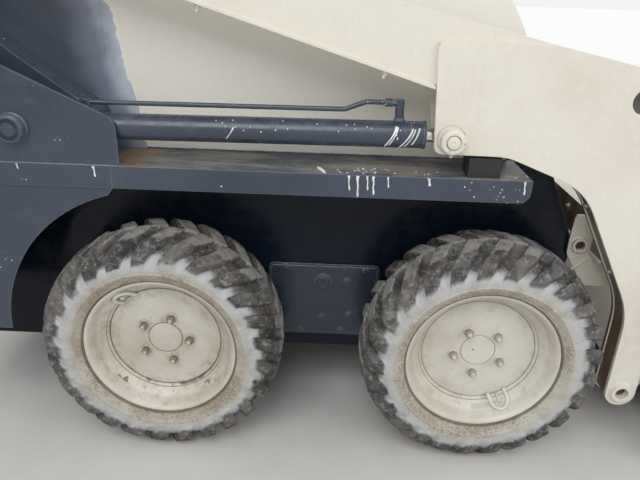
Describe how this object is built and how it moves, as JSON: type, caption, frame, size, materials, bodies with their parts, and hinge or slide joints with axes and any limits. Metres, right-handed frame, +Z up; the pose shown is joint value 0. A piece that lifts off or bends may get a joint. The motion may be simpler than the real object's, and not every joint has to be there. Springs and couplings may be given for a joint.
{
  "type": "compact skid-steer wheel loader",
  "caption": "Mini wheel loader of the skid-steer kind with rubber tyres, an open cab, lift arms hinged on rear towers and a front bucket that tilts.",
  "frame": {"origin": "bottom centre of the machine's bounding box, on the ground", "axes": "+X forward to the bucket, +Y to the operator's left, +Z up"},
  "size_m": [2.838, 1.4, 1.935],
  "materials": {
    "tyre": "matte",
    "cream_paint": "satin",
    "slate_paint": "satin",
    "wheel_paint": "satin",
    "rod_chrome": "polished",
    "bare_steel": "worn",
    "bucket_paint": "worn",
    "seat_vinyl": "satin",
    "black_plastic": "matte",
    "black_rubber": "matte",
    "engine_iron": "rough",
    "window_glass": "clear",
    "lamp_lens": "clear"
  },
  "bodies": {
    "chassis": {"lower_frame": "slate_paint", "chaincase_covers": "slate_paint", "axle_housings": "slate_paint", "fender_l": "slate_paint", "fender_r": "slate_paint", "tower_outer_l": "slate_paint", "tower_outer_r": "slate_paint", "tower_inner_l": "slate_paint", "tower_inner_r": "slate_paint", "tower_pins": "slate_paint", "door_knuckles": "slate_paint", "boom_rests": "black_rubber", "rear_frame": "slate_paint", "side_panels": "cream_paint", "cab_screens": "slate_paint", "cab_frame": "cream_paint", "rear_window": "window_glass", "seat_base": "slate_paint", "seat_cushion": "seat_vinyl", "seat_backrest": "seat_vinyl", "controls": "black_plastic", "engine_block": "engine_iron", "exhaust": "bare_steel", "lamps": "lamp_lens"},
    "wheel_rear_l": {"tyre_rear_l": "tyre", "rim_rear_l": "wheel_paint"},
    "wheel_rear_r": {"tyre_rear_r": "tyre", "rim_rear_r": "wheel_paint"},
    "wheel_front_l": {"tyre_front_l": "tyre", "rim_front_l": "wheel_paint"},
    "wheel_front_r": {"tyre_front_r": "tyre", "rim_front_r": "wheel_paint"},
    "boom": {"boom_arm_l": "cream_paint", "boom_arm_r": "cream_paint", "boom_leg_l": "cream_paint", "boom_leg_r": "cream_paint", "boom_cheek_l": "cream_paint", "boom_cheek_r": "cream_paint", "boom_cross_tube": "cream_paint"},
    "lift_barrel_l": {"lift_barrel_l": "slate_paint"},
    "lift_barrel_r": {"lift_barrel_r": "slate_paint"},
    "lift_rod_l": {"lift_rod_l": "rod_chrome"},
    "lift_rod_r": {"lift_rod_r": "rod_chrome"},
    "tilt_barrel_l": {"tilt_barrel_l": "cream_paint"},
    "tilt_barrel_r": {"tilt_barrel_r": "cream_paint"},
    "tilt_rod_l": {"tilt_rod_l": "rod_chrome"},
    "tilt_rod_r": {"tilt_rod_r": "rod_chrome"},
    "bucket": {"coupler": "cream_paint", "bucket_shell": "bucket_paint", "cutting_edge": "bare_steel"},
    "seat_bar": {"seat_bar": "slate_paint"},
    "hood": {"hood": "slate_paint"},
    "rear_door": {"rear_door": "slate_paint"}
  },
  "joints": [
    {"name": "roll_rear_l", "type": "hinge", "parent": "chassis", "child": "wheel_rear_l", "pos_m": [-0.643, 0.581, 0.335], "axis": [0, 1, 0], "continuous": true},
    {"name": "roll_front_l", "type": "hinge", "parent": "chassis", "child": "wheel_front_l", "pos_m": [0.239, 0.581, 0.335], "axis": [0, 1, 0], "continuous": true},
    {"name": "roll_rear_r", "type": "hinge", "parent": "chassis", "child": "wheel_rear_r", "pos_m": [-0.643, -0.581, 0.335], "axis": [0, 1, 0], "continuous": true},
    {"name": "roll_front_r", "type": "hinge", "parent": "chassis", "child": "wheel_front_r", "pos_m": [0.239, -0.581, 0.335], "axis": [0, 1, 0], "continuous": true},
    {"name": "boom_lift", "type": "hinge", "parent": "chassis", "child": "boom", "pos_m": [-1.263, 0, 1.48], "axis": [0, -1, 0], "range_deg": [0, 62]},
    {"name": "bucket_tilt", "type": "hinge", "parent": "boom", "child": "bucket", "pos_m": [0.669, 0, 0.208], "axis": [0, 1, 0], "range_deg": [-25, 100]},
    {"name": "lift_swing_l", "type": "hinge", "parent": "chassis", "child": "lift_barrel_l", "pos_m": [-0.973, 0.562, 0.922], "axis": [0, -1, 0], "range_deg": [0, 61]},
    {"name": "lift_stroke_l", "type": "slide", "parent": "lift_barrel_l", "child": "lift_rod_l", "axis": [1, 0, 0.0075], "range_m": [0, 0.6478]},
    {"name": "tilt_swing_l", "type": "hinge", "parent": "boom", "child": "tilt_barrel_l", "pos_m": [0.663, 0.487, 0.9], "axis": [0, -1, 0], "range_deg": [-6, 6]},
    {"name": "tilt_stroke_l", "type": "slide", "parent": "tilt_barrel_l", "child": "tilt_rod_l", "axis": [0.1267, 0, -0.9919], "range_m": [-0.0425, 0.1672]},
    {"name": "lift_swing_r", "type": "hinge", "parent": "chassis", "child": "lift_barrel_r", "pos_m": [-0.973, -0.562, 0.922], "axis": [0, -1, 0], "range_deg": [0, 61]},
    {"name": "lift_stroke_r", "type": "slide", "parent": "lift_barrel_r", "child": "lift_rod_r", "axis": [1, 0, 0.0075], "range_m": [0, 0.6478]},
    {"name": "tilt_swing_r", "type": "hinge", "parent": "boom", "child": "tilt_barrel_r", "pos_m": [0.663, -0.487, 0.9], "axis": [0, -1, 0], "range_deg": [-6, 6]},
    {"name": "tilt_stroke_r", "type": "slide", "parent": "tilt_barrel_r", "child": "tilt_rod_r", "axis": [0.1267, 0, -0.9919], "range_m": [-0.0425, 0.1672]},
    {"name": "seat_bar_lift", "type": "hinge", "parent": "chassis", "child": "seat_bar", "pos_m": [-0.573, 0, 1.24], "axis": [0, -1, 0], "range_deg": [0, 95]},
    {"name": "hood_open", "type": "hinge", "parent": "chassis", "child": "hood", "pos_m": [-0.806, 0, 1.25], "axis": [0, 1, 0], "range_deg": [0, 55]},
    {"name": "rear_door_swing", "type": "hinge", "parent": "chassis", "child": "rear_door", "pos_m": [-1.411, 0.431, 0.7], "axis": [0, 0, -1], "range_deg": [0, 100]}
  ],
  "couplings": [
    {"joint": "roll_front_l", "follows": "roll_rear_l", "ratio": 1},
    {"joint": "roll_front_r", "follows": "roll_rear_r", "ratio": 1},
    {"joint": "lift_swing_l", "follows": "boom_lift", "ratio": 0.97584},
    {"joint": "lift_stroke_l", "follows": "boom_lift", "m_per_rad": 0.59773},
    {"joint": "tilt_swing_l", "follows": "bucket_tilt", "ratio": -0.003621},
    {"joint": "tilt_stroke_l", "follows": "bucket_tilt", "m_per_rad": 0.095198},
    {"joint": "lift_swing_r", "follows": "boom_lift", "ratio": 0.97584},
    {"joint": "lift_stroke_r", "follows": "boom_lift", "m_per_rad": 0.59773},
    {"joint": "tilt_swing_r", "follows": "bucket_tilt", "ratio": -0.003621},
    {"joint": "tilt_stroke_r", "follows": "bucket_tilt", "m_per_rad": 0.095198}
  ]
}
